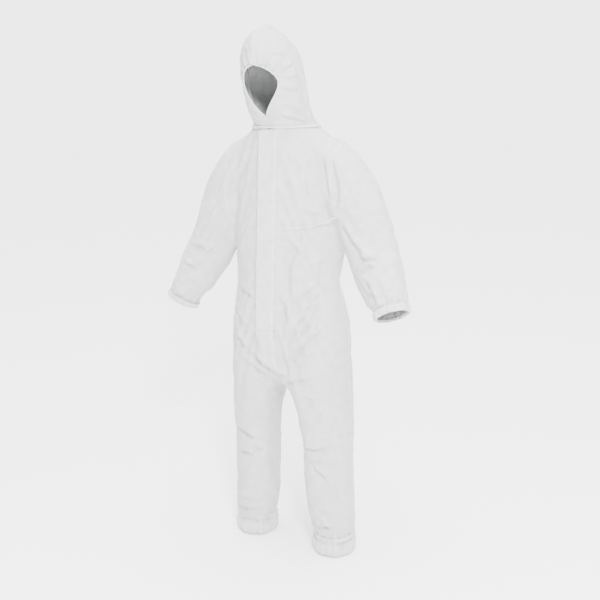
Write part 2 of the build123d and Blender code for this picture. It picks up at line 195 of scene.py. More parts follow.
def face_outward(obj, merge=0.0):
    """Turns every face outward, after merging points that lie closer than merge."""
    bm = bmesh.new()
    bm.from_mesh(obj.data)
    if merge:
        bmesh.ops.remove_doubles(bm, verts=bm.verts, dist=merge)
    bmesh.ops.recalc_face_normals(bm, faces=bm.faces)
    bm.to_mesh(obj.data)
    bm.free()


def shade_smooth(obj):
    obj.data.polygons.foreach_set("use_smooth", np.ones(len(obj.data.polygons), bool))


def together(parts):
    """The vertices and faces of several meshes as one."""
    points, faces, offset = [], [], 0
    for more, more_faces in parts:
        points.append(more)
        faces += [tuple(i + offset for i in f) for f in more_faces]
        offset += len(more)
    return np.concatenate(points), faces


def applied(obj):
    """Turns the object's modifiers into its mesh."""
    graph = bpy.context.evaluated_depsgraph_get()
    mesh = bpy.data.meshes.new_from_object(obj.evaluated_get(graph))
    old = obj.data
    obj.modifiers.clear()
    obj.data = mesh
    bpy.data.meshes.remove(old)


def get_points(obj):
    points = np.empty(len(obj.data.vertices) * 3)
    obj.data.vertices.foreach_get("co", points)
    return points.reshape(-1, 3)


def set_points(obj, points):
    obj.data.vertices.foreach_set("co", points.astype(np.float32).ravel())
    obj.data.update()


def get_normals(obj):
    normals = np.empty(len(obj.data.vertices) * 3, np.float32)
    obj.data.vertices.foreach_get("normal", normals)
    return normals.reshape(-1, 3).astype(float)


def relaxed(obj, rounds, weight, strength=0.5):
    """Averages each point with its neighbours, by weight."""
    points = get_points(obj)
    edges = np.empty(len(obj.data.edges) * 2, np.int32)
    obj.data.edges.foreach_get("vertices", edges)
    edges = edges.reshape(-1, 2)
    count = np.bincount(edges.ravel(), minlength=len(points))
    for _ in range(rounds):
        total = np.zeros_like(points)
        for k in range(3):
            total[:, k] = np.bincount(edges[:, 0], points[edges[:, 1], k], len(points))
            total[:, k] += np.bincount(edges[:, 1], points[edges[:, 0], k], len(points))
        mean = total / np.maximum(count, 1)[:, None]
        points = points + (mean - points) * (strength * weight)[:, None]
    set_points(obj, points)


def ramp(x, low, high):
    """0 below low, 1 above high, smooth between."""
    t = np.clip((x - low) / (high - low), 0, 1)
    return t * t * (3 - 2 * t)


def near(points, centre, radius):
    """1 at centre, falling smoothly to 0 at radius."""
    distance = np.linalg.norm(points - np.array(centre), axis=1)
    return 1 - ramp(distance, 0, radius)


# ---------------------------------------------------------------- body, legs and sleeves as one skin
def base_skin(voxel):
    tubes = [body_rings()] + [leg_rings(s) for s in SIDES] + [sleeve_rings(s) for s in SIDES]
    obj = mesh_object("suit_skin", *together(closed_tube(rings) for rings in tubes))
    face_outward(obj)
    remesh = obj.modifiers.new("remesh", "REMESH")
    remesh.mode = "VOXEL"
    remesh.voxel_size = voxel
    applied(obj)
    points = get_points(obj)
    weight = np.full(len(points), 0.6)
    for side in SIDES:
        weight = np.maximum(weight, near(points, (side * 0.20, 0, 1.14), 0.12) * 1.8)
    relaxed(obj, 14, np.minimum(weight, 1))
    return obj


def cut_open(obj):
    """Opens the neck, the wrists and the ankles."""
    bm = bmesh.new()
    bm.from_mesh(obj.data)
    cuts = [((0, 0, NECK_CUT), (0, 0, 1), lambda c: abs(c.x) < 0.2 and c.z > 1.40)]
    for side in SIDES:
        wrist, elbow = Vector(WRIST[side]), Vector(ELBOW[side])
        way = (wrist - elbow).normalized()
        cuts.append((wrist - way * 0.013, way,
                     lambda c, s=side: s * c.x > 0.30 and c.z < 1.05 and c.z > 0.7))
        cuts.append(((0, 0, ANKLE_CUT), (0, 0, -1), lambda c, s=side: s * c.x > 0 and c.z < 0.2))
    for place, normal, inside in cuts:
        faces = [f for f in bm.faces if inside(f.calc_center_median())]
        geometry = set(faces)
        for f in faces:
            geometry.update(f.edges)
            geometry.update(f.verts)
        bmesh.ops.bisect_plane(bm, geom=list(geometry), plane_co=place, plane_no=normal,
                               clear_outer=True, dist=1e-6)
    bm.to_mesh(obj.data)
    bm.free()


CLOTH_SETTINGS = {
    "quality": 4, "mass": 0.25, "tension_stiffness": 22, "compression_stiffness": 22, "shear_stiffness": 6,
    "bending_stiffness": 1.2, "tension_damping": 8, "compression_damping": 8, "bending_damping": 0.8,
    "air_damping": 2, "vertex_group_mass": "held", "pin_stiffness": 1.0,
}
MOST_MOVED = 0.022  # the cloth keeps no more than this of its way in the simulation


def wear(obj, frames=26, growth=0.035):
    """Hangs the cloth on a slimmer body, so that it wrinkles by itself."""
    points = get_points(obj)
    normals = get_normals(obj)
    body = obj.copy()
    body.data = obj.data.copy()
    body.name = "wearer"
    bpy.context.scene.collection.objects.link(body)
    set_points(body, points - normals * 0.010)
    relaxed(body, 6, np.ones(len(points)))
    body.modifiers.new("collision", "COLLISION")
    body.collision.thickness_outer = 0.003
    body.collision.cloth_friction = 6
    hold = np.zeros(len(points))
    hold = np.maximum(hold, ramp(points[:, 2], 1.455, 1.485) * (np.abs(points[:, 0]) < 0.16))
    front_line = (np.abs(points[:, 0]) < 0.03) & (points[:, 1] < 0) & (points[:, 2] > 0.75)
    hold = np.maximum(hold, front_line * 0.9)
    for side in SIDES:
        wrist, elbow = np.array(WRIST[side]), np.array(ELBOW[side])
        way = unit(wrist - elbow)
        along = (points - wrist) @ way
        beside = (side * points[:, 0] > 0.3) & (points[:, 2] < 1.05) & (points[:, 2] > 0.7)
        hold = np.maximum(hold, ramp(along, -0.03, -0.012) * beside)
    hold = np.maximum(hold, 1 - ramp(points[:, 2], 0.055, 0.075))
    group = obj.vertex_groups.new(name="held")
    for i in np.flatnonzero(hold > 0.01):
        group.add([int(i)], float(hold[i]), "REPLACE")
    cloth = obj.modifiers.new("cloth", "CLOTH")
    for name, value in CLOTH_SETTINGS.items():
        setattr(cloth.settings, name, value)
    cloth.settings.shrink_min = -growth
    cloth.settings.shrink_max = -growth
    cloth.settings.use_pressure = True
    cloth.settings.uniform_pressure_force = 0.25
    cloth.collision_settings.use_collision = True
    cloth.collision_settings.collision_quality = 2
    cloth.collision_settings.distance_min = 0.002
    cloth.collision_settings.use_self_collision = False
    scene = bpy.context.scene
    scene.frame_start, scene.frame_end = 1, frames
    cloth.point_cache.frame_start, cloth.point_cache.frame_end = 1, frames
    for frame_number in range(1, frames + 1):
        scene.frame_set(frame_number)
    graph = bpy.context.evaluated_depsgraph_get()
    worn = obj.evaluated_get(graph).to_mesh()
    new = np.empty(len(points) * 3)
    worn.vertices.foreach_get("co", new)
    new = new.reshape(-1, 3)
    obj.modifiers.clear()
    scene.frame_set(1)
    bpy.data.objects.remove(body)
    moved = new - points
    length = np.linalg.norm(moved, axis=1, keepdims=True)
    moved *= np.minimum(1, MOST_MOVED / np.maximum(length, 1e-9))
    set_points(obj, points + moved)


def stroke(points, normals, line, width, height, step=0.7):
    """A crease along a line: a ridge on its upper side and a dip on its lower side."""
    line = np.array(line, float)
    low, high = line.min(0) - 4 * width, line.max(0) + 4 * width
    near_line = np.flatnonzero(((points > low) & (points < high)).all(1))
    if not len(near_line):
        return
    p = points[near_line]
    best = np.full(len(p), 9.0)
    off = np.zeros_like(p)
    way = np.zeros_like(p)
    at = np.zeros(len(p))
    count = len(line) - 1
    for k in range(count):
        a, b = line[k], line[k + 1]
        t = np.clip((p - a) @ (b - a) / ((b - a) @ (b - a)), 0, 1)
        gap = p - (a + t[:, None] * (b - a))
        distance = np.linalg.norm(gap, axis=1)
        closer = distance < best
        best[closer] = distance[closer]
        off[closer] = gap[closer]
        way[closer] = unit(b - a)
        at[closer] = (k + t[closer]) / count
    n = normals[near_line]
    side_way = np.cross(way, n)
    upward = np.cross(unit(line[-1] - line[0]), n.mean(0))
    upward *= 1 if upward[2] + 0.3 * upward[0] > 0 else -1
    side_way *= np.where(side_way @ upward < 0, -1, 1)[:, None]
    s = np.einsum("ij,ij->i", off, side_way)
    other = np.sqrt(np.maximum(best**2 - s**2, 0))
    ridge = np.exp(-((s - step * width) / width) ** 2)
    dip = np.exp(-((s + step * width) / (0.8 * width)) ** 2)
    shape = ridge - 0.9 * dip
    ends = ramp(at, 0, 0.22) * (1 - ramp(at, 0.78, 1)) * 0.9 + 0.1
    shape *= ends * np.exp(-(other / (1.2 * width)) ** 2)
    points[near_line] += n * (height * shape)[:, None]


# Creases of the worn suit, seen from the front or the back: places as (x, z), width, height.
# Most places in FRONT_CREASES are a helper program's output, rounded: it cast lines traced in the
# photo onto the skin. They should be chosen anew by hand. The back was chosen one by one.
FRONT_CREASES = (
    # from the left side of the waist down to the crotch
    (((0.20, 0.97), (0.16, 0.94), (0.11, 0.88), (0.06, 0.81)), 0.011, 0.0065),
    (((0.20, 0.95), (0.17, 0.91), (0.13, 0.86), (0.09, 0.79)), 0.010, 0.0060),
    (((0.20, 0.91), (0.18, 0.87), (0.15, 0.83), (0.12, 0.80)), 0.010, 0.0045),
    (((0.19, 0.99), (0.16, 0.98), (0.11, 0.95), (0.06, 0.91)), 0.012, 0.0050),
    (((0.21, 0.85), (0.16, 0.82), (0.10, 0.78), (0.07, 0.72)), 0.013, 0.0085),
    (((0.17, 0.77), (0.12, 0.75), (0.07, 0.70)), 0.010, 0.0050),
    # across the crotch and the tops of the legs
    (((-0.08, 0.755), (-0.03, 0.72), (0.02, 0.69), (0.06, 0.675)), 0.013, 0.0055),
    (((-0.12, 0.72), (-0.05, 0.69), (0.00, 0.665)), 0.010, 0.0040),
    (((0.02, 0.63), (0.05, 0.655), (0.09, 0.67), (0.15, 0.685)), 0.010, 0.0070),
    (((0.10, 0.61), (0.18, 0.60), (0.23, 0.60)), 0.007, 0.0030),
    (((0.13, 0.67), (0.15, 0.65)), 0.006, 0.0030),
    (((-0.17, 0.83), (-0.13, 0.79), (-0.08, 0.755)), 0.012, 0.0060),
    (((-0.20, 0.90), (-0.15, 0.87), (-0.08, 0.83)), 0.012, 0.0040),
    # knees and shins
    (((0.07, 0.42), (0.10, 0.415), (0.15, 0.415), (0.19, 0.42), (0.23, 0.435)), 0.010, 0.0060),
    (((0.14, 0.35), (0.15, 0.34), (0.18, 0.315), (0.205, 0.29)), 0.009, 0.0060),
    (((0.09, 0.37), (0.12, 0.365), (0.19, 0.38), (0.23, 0.38)), 0.009, 0.0040),
    (((0.18, 0.575), (0.14, 0.49), (0.11, 0.43)), 0.012, 0.0040),
    (((-0.23, 0.435), (-0.20, 0.43), (-0.16, 0.425), (-0.12, 0.415), (-0.08, 0.405)), 0.010, 0.0060),
    (((-0.19, 0.34), (-0.17, 0.345), (-0.12, 0.345), (-0.09, 0.34)), 0.009, 0.0060),
    (((-0.10, 0.375), (-0.07, 0.365), (-0.06, 0.35)), 0.009, 0.0050),
    (((0.10, 0.115), (0.14, 0.105), (0.19, 0.12)), 0.009, 0.0060),
    (((0.14, 0.145), (0.20, 0.115), (0.24, 0.135)), 0.010, 0.0060),
    (((-0.24, 0.12), (-0.20, 0.105), (-0.12, 0.105), (-0.08, 0.105)), 0.010, 0.0060),
    (((-0.23, 0.165), (-0.18, 0.15), (-0.11, 0.155)), 0.010, 0.0040),
    # right sleeve
    (((-0.38, 1.10), (-0.32, 1.09), (-0.28, 1.075)), 0.010, 0.0060),
    (((-0.23, 1.065), (-0.26, 1.06), (-0.29, 1.055)), 0.009, 0.0060),
    (((-0.40, 1.035), (-0.36, 1.025), (-0.32, 1.01), (-0.28, 1.025)), 0.010, 0.0060),
    (((-0.32, 0.935), (-0.30, 0.945)), 0.008, 0.0040),
    (((-0.22, 1.23), (-0.26, 1.16), (-0.31, 1.10)), 0.012, 0.0060),
    # left sleeve
    (((0.29, 1.095), (0.32, 1.10), (0.345, 1.11), (0.375, 1.125)), 0.010, 0.0060),
    (((0.28, 1.05), (0.30, 1.06), (0.33, 1.08), (0.365, 1.09)), 0.009, 0.0060),
    (((0.23, 1.195), (0.27, 1.145), (0.325, 1.095)), 0.012, 0.0060),
    (((0.33, 1.035), (0.345, 1.01), (0.375, 0.97), (0.395, 0.94)), 0.010, 0.0050),
    (((0.30, 1.00), (0.33, 0.985), (0.37, 0.99)), 0.009, 0.0040),
    # from the shoulders to the armpits
    (((0.14, 1.235), (0.16, 1.22), (0.22, 1.195)), 0.010, 0.0055),
    (((0.15, 1.41), (0.15, 1.34), (0.145, 1.26)), 0.010, 0.0035),
    (((0.18, 1.42), (0.19, 1.34), (0.18, 1.26)), 0.010, 0.0045),
    (((0.21, 1.42), (0.23, 1.32), (0.22, 1.22)), 0.010, 0.0040),
    (((-0.10, 1.47), (-0.14, 1.38), (-0.18, 1.28), (-0.195, 1.22)), 0.012, 0.0060),
    (((-0.16, 1.41), (-0.195, 1.33), (-0.24, 1.245)), 0.011, 0.0050),
    # belly
    (((0.05, 1.15), (0.11, 1.105), (0.15, 1.065)), 0.012, 0.0040),
    (((0.15, 1.19), (0.115, 1.13), (0.08, 1.05), (0.07, 0.96), (0.06, 0.87), (0.05, 0.77)), 0.013, 0.0055),
    (((0.205, 1.13), (0.195, 1.05), (0.19, 0.98)), 0.011, 0.0040),
    (((-0.16, 0.96), (-0.08, 0.95), (-0.05, 0.935)), 0.011, 0.0040),
)
BACK_CREASES = (
    (((-0.15, 1.02), (0.0, 1.01), (0.15, 1.025)), 0.013, 0.0050),
    (((-0.14, 0.955), (0.0, 0.96), (0.15, 0.95)), 0.013, 0.0050),
)
# These lie the same way on both sides of the back, so only the left one is listed.
MIRRORED_BACK_CREASES = (
    (((0.17, 0.74), (0.06, 0.69), (0.01, 0.66)), 0.013, 0.0080),
    (((0.20, 0.455), (0.15, 0.44), (0.09, 0.45)), 0.010, 0.0070),
    (((0.20, 0.40), (0.15, 0.395), (0.09, 0.41)), 0.010, 0.0050),
    (((0.10, 1.43), (0.17, 1.33), (0.20, 1.22)), 0.013, 0.0060),
    (((0.25, 1.13), (0.31, 1.12), (0.37, 1.13)), 0.010, 0.0060),
    (((0.27, 1.07), (0.33, 1.06), (0.39, 1.07)), 0.010, 0.0050),
)
CREASE_DEPTH = 1.45  # how much deeper than listed the creases are pressed
HOOD_CREASE_DEPTH = 1.5
SEARCH_DEPTH = 0.13  # a place is the cloth's nearest point to one this far in front or behind


def all_creases(tree):
    """Every crease with its places laid on the cloth."""
    rows = [(-SEARCH_DEPTH, row) for row in FRONT_CREASES]
    rows += [(SEARCH_DEPTH, row) for row in BACK_CREASES]
    for line, width, height in MIRRORED_BACK_CREASES:
        for side in SIDES:
            rows.append((SEARCH_DEPTH, (tuple((side * x, z) for x, z in line), width, height)))
    for y, (line, width, height) in rows:
        on = [tree.find_nearest(Vector((x, y, z)))[0] for x, z in line]
        yield np.array(on), width, height * CREASE_DEPTH


def crumple(points, normals, weight, scale, height, seed):
    """Fine uneven wrinkles by a noise that is seeded by its place."""
    shift = Vector((seed * 7.31, seed * 3.17, seed * 1.93))
    amount = np.zeros(len(points))
    for i in np.flatnonzero(weight > 0.02):
        p = Vector(points[i]) * scale + shift
        amount[i] = noise.ridged_multi_fractal(p, 0.9, 2.1, 3, 0.8, 1.6) - 1.0
    points += normals * (amount * weight * height)[:, None]


def detail(obj):
    """Creases, gathers and fine wrinkles on the worn skin."""
    points = get_points(obj)
    normals = get_normals(obj)
    for line, width, height in all_creases(tree_of(obj)):
        stroke(points, normals, line, width, height)
    x, y, z = points.T
    weight = np.full(len(points), 0.35)
    for side in SIDES:
        weight = np.maximum(weight, near(points, ELBOW[side], 0.17) * 1.2)
        weight = np.maximum(weight, near(points, WRIST[side], 0.13) * 1.2)
        weight = np.maximum(weight, near(points, (side * 0.15, 0, 0.42), 0.2))
        weight = np.maximum(weight, near(points, (side * ANKLE_X, 0, 0.08), 0.14))
    weight = np.maximum(weight, near(points, (0, -0.1, 0.72), 0.22) * 0.9)
    weight *= ramp(np.hypot(x, np.maximum(0, y + 0.05) * 3), 0.028, 0.06)
    crumple(points, normals, np.minimum(1, weight + 0.3), 8.0, 0.0060, 5)
    crumple(points, normals, np.minimum(1, weight + 0.15), 19.0, 0.0048, 1)
    crumple(points, normals, weight * 0.8, 55.0, 0.0010, 2)
    # gathers: waist at the back, wrists and ankles
    waist = np.exp(-((z - 0.990) / 0.028) ** 2) * ramp(y, 0.0, 0.05) * (np.abs(x) < 0.22)
    pleats = np.cos(x * 2 * np.pi / 0.021 + 1.3 * np.sin(z * 60))
    points += normals * (waist * (pleats * 0.0028 - 0.003))[:, None]
    for side in SIDES:
        centre, way, u, v = wrist_frame(side)
        along = (points - centre) @ way
        angle = np.arctan2((points - centre) @ v, (points - centre) @ u)
        mask = (side * x > 0.30) & (z < 1.1)
        fade = ramp(along, -0.075, -0.012) * mask
        points += normals * (fade * 0.0024 * np.cos(15 * angle + 0.8 * np.sin(3 * angle)))[:, None]
        angle = np.arctan2(y, x - side * ANKLE_X)
        fade = (1 - ramp(z, 0.066, 0.12)) * ramp(z, 0.056, 0.078) * (side * x > 0)
        points += normals * (fade * 0.0024 * np.cos(17 * angle + 0.9 * np.sin(2 * angle)))[:, None]
    # the front beside the zip is one straight slope
    front = (y < 0) & (z > 0.84) & (np.abs(x) < 0.045)
    hold = front * (1 - ramp(np.abs(x), 0.018, 0.045))
    points[:, 1] += hold * (front_y(z) - points[:, 1])
    # the sides of the body stay clear of the sleeves
    body_side = (obj_arm(obj) < 0.49) & (z > 0.97) & (z < 1.30)
    points[:, 0] = np.where(body_side, np.clip(x, -BODY_SIDE, BODY_SIDE), x)
    set_points(obj, points)


def wrist_frame(side):
    wrist, elbow = np.array(WRIST[side]), np.array(ELBOW[side])
    way = unit(wrist - elbow)
    v = unit(np.array((0, 1, 0)) - way[1] * way)
    return wrist, way, np.cross(v, way), v


def mark_arms(obj):
    """Notes which points belong to the sleeves, while the skin still has its plain shape."""
    x, _, z = get_points(obj).T
    arm = ((np.abs(x) > 0.2085) & (z > 0.97)) | ((np.abs(x) > 0.265) & (z > 0.8))
    attribute = obj.data.attributes.new("arm", "FLOAT", "POINT")
    attribute.data.foreach_set("value", arm.astype(np.float32))


def obj_arm(obj):
    arm = np.empty(len(obj.data.vertices), np.float32)
    obj.data.attributes["arm"].data.foreach_get("value", arm)
    return arm


def cut_slot(obj):
    """Opens the front over the zip."""
    bm = bmesh.new()
    bm.from_mesh(obj.data)

    def front(c):
        return abs(c.x) < 0.02 and c.y < 0 and 0.84 < c.z

    for place, normal in (((SLOT_HALF, 0, 0), (1, 0, 0)), ((-SLOT_HALF, 0, 0), (1, 0, 0)),
                          ((0, 0, SLOT_BOTTOM), (0, 0, 1))):
        geometry = set()
        for f in bm.faces:
            if front(f.calc_center_median()):
                geometry.add(f)
                geometry.update(f.edges)
                geometry.update(f.verts)
        bmesh.ops.bisect_plane(bm, geom=list(geometry), plane_co=place, plane_no=normal, dist=1e-6)
    middles = [(f, f.calc_center_median()) for f in bm.faces]
    inside = [f for f, c in middles if abs(c.x) < SLOT_HALF and c.y < 0 and c.z > SLOT_BOTTOM]
    bmesh.ops.delete(bm, geom=inside, context="FACES")
    bm.to_mesh(obj.data)
    bm.free()


def tree_of(obj):
    mesh = obj.data
    return BVHTree.FromPolygons([v.co for v in mesh.vertices], [p.vertices for p in mesh.polygons])


def lengths_along(points):
    """The length walked from the first point to each point."""
    return np.r_[0, np.cumsum(np.linalg.norm(np.diff(points, axis=0), axis=1))]


def places_at(at, length, points):
    return np.stack([np.interp(at, length, points[:, k]) for k in range(3)], 1)


def even_loop(loop, count):
    """Evenly spaced points round a closed loop, and each point's angle along it."""
    closed = np.vstack([loop, loop[:1]])
    length = lengths_along(closed)
    at = np.linspace(0, length[-1], count, endpoint=False)
    return places_at(at, length, closed), at / length[-1] * 2 * np.pi


def curve_through(points, spacing):
    """Evenly spaced points on a smooth curve through the given ones."""
    points = np.array(points, float)
    fine = smooth_rings(points, 12)
    length = lengths_along(fine)
    count = max(3, int(length[-1] / spacing) + 1)
    return places_at(np.linspace(0, length[-1], count), length, fine)


def seam(tree, line, width=0.0045, height=0.0008, spacing=0.006):
    """A narrow sewn welt laid on the cloth along a line."""
    path = curve_through(line, spacing)
    on, up = [], []
    for p in path:
        hit, normal, *_ = tree.find_nearest(Vector(p))
        on.append(np.array(hit))
        up.append(np.array(normal))
    on, up = np.array(on), np.array(up)
    for _ in range(2):
        on[1:-1] = 0.5 * on[1:-1] + 0.25 * (on[:-2] + on[2:])
        up[1:-1] = 0.5 * up[1:-1] + 0.25 * (up[:-2] + up[2:])
    way = np.gradient(on, axis=0)
    across = np.cross(way, up)
    across /= np.maximum(np.linalg.norm(across, axis=1, keepdims=True), 1e-9)
    rows = [on + across * (width * t) + up * h for t, h in
            ((-0.5, -0.0012), (-0.42, height), (0.0, height * 0.5), (0.42, height), (0.5, -0.0012))]
    return grid_between(rows)


def grid_between(rows, closed=False):
    """Vertices and faces of a grid whose rows are equally long lists of points."""
    count = len(rows[0])
    faces = []
    for i in range(len(rows) - 1):
        for j in range(count if closed else count - 1):
            k = (j + 1) % count
            faces.append((i * count + j, i * count + k, (i + 1) * count + k, (i + 1) * count + j))
    return np.concatenate(rows), faces


def chest_seam_z(x):
    return 1.165 + 0.10 * x


ARMHOLE_FRONT = (
    (-0.005, 1.425), (-0.045, 1.40), (-0.075, 1.34), (-0.082, 1.27), (-0.07, 1.20), (-0.03, 1.168),
)
ARMHOLE_BACK = ((0.005, 1.425), (0.05, 1.40), (0.085, 1.34), (0.095, 1.27), (0.08, 1.20), (0.03, 1.168))
OUTER_SEAM = (
    (0.205, 1.13), (0.20, 1.05), (0.195, 0.99), (0.215, 0.88), (0.225, 0.80), (0.226, 0.70),
    (0.235, 0.55), (0.238, 0.40), (0.24, 0.25), (0.242, 0.12), (0.236, 0.075),
)
INNER_SEAM = (
    (0.004, 0.64), (0.022, 0.60), (0.05, 0.51), (0.06, 0.44), (0.061, 0.30), (0.073, 0.12), (0.083, 0.075),
)


def all_seams(tree):
    """The sewn welts as one object."""
    lines = []
    for s in SIDES:
        lines.append([(s * x, -0.14, chest_seam_z(s * x)) for x in (0.030, 0.08, 0.13, 0.17, 0.195)])
        lines.append([(s * x, 0.145, 1.165) for x in (0.0, 0.06, 0.12, 0.17, 0.20)])
        for armhole in (ARMHOLE_FRONT, ARMHOLE_BACK):
            lines.append([(s * 0.196, y, z) for y, z in armhole])
        lines.append([(s * x, 0.008, z) for x, z in OUTER_SEAM])
        lines.append([(s * x, 0.015, z) for x, z in INNER_SEAM])
        elbow, wrist = np.array(ELBOW[s]), np.array(WRIST[s])
        top = np.array((s * 0.235, 0.006, 1.20))
        under = np.array((-s * 0.08, 0.01, -0.03))
        lines.append([top + under * 0.9, 0.5 * (top + elbow) + under, elbow + under,
                      0.5 * (elbow + wrist) + 0.9 * under, wrist + 0.75 * under - 0.02 * (wrist - elbow)])
    lines.append([(0, 0.15, z) for z in (1.480, 1.40, 1.30, 1.165, 1.05, 0.99, 0.90, 0.80, 0.72)])
    lines.append([(0.0, -0.145, 0.700), (0.0, -0.14, 0.675), (0.0, -0.10, 0.652)])
    return mesh_object("seams", *together(seam(tree, line) for line in lines))


def joined(obj, other):
    bpy.ops.object.select_all(action="DESELECT")
    other.select_set(True)
    obj.select_set(True)
    bpy.context.view_layer.objects.active = obj
    bpy.ops.object.join()


def piece(obj, name, keep, normals):
    """A copy of the kept faces, shaded as part of the whole."""
    mesh = obj.data
    used = sorted({v for k in keep for v in mesh.polygons[k].vertices})
    index = {v: i for i, v in enumerate(used)}
    new = mesh_object(name, [mesh.vertices[v].co for v in used],
                      [tuple(index[v] for v in mesh.polygons[k].vertices) for k in keep])
    shade_smooth(new)
    slots = np.array([mesh.polygons[k].material_index for k in keep], np.int32)
    new.data.polygons.foreach_set("material_index", slots)
    new.data.normals_split_custom_set_from_vertices([normals[v] for v in used])
    return new


# ---------------------------------------------------------------- hood
HOOD = (
    (1.4750, -0.002, 0.1150, 0.1030), (1.4854, -0.005, 0.1115, 0.1025), (1.505, -0.018, 0.1015, 0.1035),
    (1.540, -0.045, 0.0985, 0.1095), (1.600, -0.069, 0.0980, 0.1120), (1.660, -0.084, 0.0950, 0.1120),
    (1.700, -0.092, 0.0870, 0.1100), (1.730, -0.099, 0.0725, 0.1030), (1.755, -0.105, 0.0510, 0.0850),
    (1.775, -0.108, 0.0265, 0.0540), (1.791, -0.108, 0.0030, 0.0110),
)
FACE_BOTTOM, FACE_TOP, FACE_HALF = 1.512, 1.670, 0.0665
EDGE_STEPS = 600  # points round the face opening
FACE_NORMAL = unit((0, -1, -0.3926))


def face_half(z):
    """Half the width of the face opening at each height: an egg, widest high up."""
    s = np.clip((z - FACE_BOTTOM) / (FACE_TOP - FACE_BOTTOM), 0, 1)
    return FACE_HALF * np.sin(np.pi * s**1.8) ** 0.55


def make_hood():
    columns = 240
    rows = smooth_rings(HOOD, 20)
    # more rows near the top of the opening, where its edge turns over
    z = np.sort(np.r_[rows[:, 0], np.linspace(FACE_TOP - 0.012, FACE_TOP, 14), [FACE_BOTTOM]])
    z = z[np.r_[True, np.diff(z) > 1e-5]]
    table = [np.interp(z, rows[:, 0], rows[:, k]) for k in (1, 2, 3)]
    share = np.linspace(0, 1, columns + 1)
    rings = []
    for height, middle, a, b in zip(z, *table):
        edge = math.asin(min(1.0, float(face_half(np.array(height))) / a))
        turn = edge + share * (2 * np.pi - 2 * edge)
        x, y = a * np.sin(turn), -b * np.cos(turn)
        ridge = ramp(height, 1.60, 1.74) * np.exp(-(x / 0.007) ** 2)
        rings.append(np.stack([x, middle + y * (1 + 0.028 * ridge), height + 0.002 * ridge], 1))
    edge_points = np.array([r[0] for r, h in zip(rings, z) if FACE_BOTTOM <= h <= FACE_TOP]
                           + [r[-1] for r, h in list(zip(rings, z))[::-1] if FACE_BOTTOM < h < FACE_TOP])
    points, faces = grid_between(rings)
    faces.append(tuple(range((len(z) - 1) * (columns + 1), len(z) * (columns + 1) - 1)))
    obj = mesh_object("hood", points, faces)
    face_outward(obj, merge=1e-5)
    points, normals = get_points(obj), get_normals(obj)
    edge_line, _ = even_loop(edge_points, EDGE_STEPS)
    kd = KDTree(EDGE_STEPS)
    for k, p in enumerate(edge_line):
        kd.insert(p, k)
    kd.balance()
    found = [kd.find(p) for p in points]
    depth = np.array([f[2] for f in found])
    turn = np.array([f[1] for f in found]) / EDGE_STEPS * 2 * np.pi
    # the elastic draws the edge in, in many small gathers
    high = ramp(points[:, 2], 1.52, 1.57)
    wave = np.cos(43 * turn + 1.4 * np.sin(3 * turn) + 0.9 * np.sin(7 * turn))
    broad = np.cos(19 * turn + 1.8 * np.sin(2 * turn + 1) + 0.7 * np.sin(5 * turn))
    gather = ramp(depth, 0.0, 0.004) * np.exp(-depth / 0.014) * (0.3 + 0.7 * high)
    swell = ramp(depth, 0, 0.008) * np.exp(-depth / 0.032)
    points += normals * (0.0022 * gather * wave + 0.0034 * swell * high * broad)[:, None]
    points -= normals * (0.006 * np.exp(-depth / 0.010))[:, None]
    hood_creases = (
        (((0.040, -0.185, 1.70), (0.062, -0.155, 1.70), (0.080, -0.125, 1.695)), 0.007, 0.0030),
        (((0.060, -0.160, 1.665), (0.080, -0.135, 1.662), (0.090, -0.110, 1.672)), 0.007, 0.0036),
        (((0.068, -0.150, 1.635), (0.085, -0.125, 1.630), (0.095, -0.095, 1.640)), 0.007, 0.0036),
        (((0.066, -0.145, 1.605), (0.085, -0.115, 1.598), (0.098, -0.080, 1.605)), 0.007, 0.0032),
        (((0.085, -0.115, 1.70), (0.100, -0.060, 1.62), (0.102, -0.040, 1.55), (0.101, -0.02, 1.50)),
         0.009, 0.0030),
        (((0.062, -0.14, 1.56), (0.085, -0.10, 1.545), (0.098, -0.05, 1.525)), 0.008, 0.0036),
        (((0.05, -0.13, 1.525), (0.08, -0.09, 1.512), (0.10, -0.03, 1.498)), 0.008, 0.0036),
        (((-0.05, -0.17, 1.70), (-0.03, -0.19, 1.72), (-0.01, -0.20, 1.715)), 0.007, 0.0025),
        (((-0.095, -0.09, 1.69), (-0.10, -0.06, 1.60), (-0.10, -0.03, 1.54)), 0.010, 0.0035),
        (((-0.06, 0.03, 1.54), (0.0, 0.052, 1.52), (0.06, 0.03, 1.54)), 0.010, 0.0045),
        (((-0.07, 0.01, 1.60), (0.0, 0.04, 1.58), (0.07, 0.01, 1.60)), 0.012, 0.0040),
    )
    for line, width, height in hood_creases:
        stroke(points, normals, line, width, height * HOOD_CREASE_DEPTH)
    crumple(points, normals, 0.8 * ramp(depth, 0.0, 0.03), 24.0, 0.0018, 3)
    crumple(points, normals, 0.5 * ramp(depth, 0.0, 0.02), 70.0, 0.0005, 4)
    set_points(obj, points)
    shade_smooth(obj)
    return obj


def edge_loop(obj, inside):
    """The points of the open edge whose middle passes the test, in order."""
    bm = bmesh.new()
    bm.from_mesh(obj.data)
    edges = [e for e in bm.edges if len(e.link_faces) == 1 and inside((e.verts[0].co + e.verts[1].co) / 2)]
    links = {}
    for e in edges:
        a, b = e.verts
        links.setdefault(a.index, []).append(b.index)
        links.setdefault(b.index, []).append(a.index)
    start = next(iter(links))
    order, last, here = [start], None, start
    while True:
        following = [k for k in links[here] if k != last]
        if not following or following[0] == start:
            break
        last, here = here, following[0]
        order.append(here)
    bm.verts.ensure_lookup_table()
    loop = np.array([bm.verts[k].co[:] for k in order])
    bm.free()
    return loop


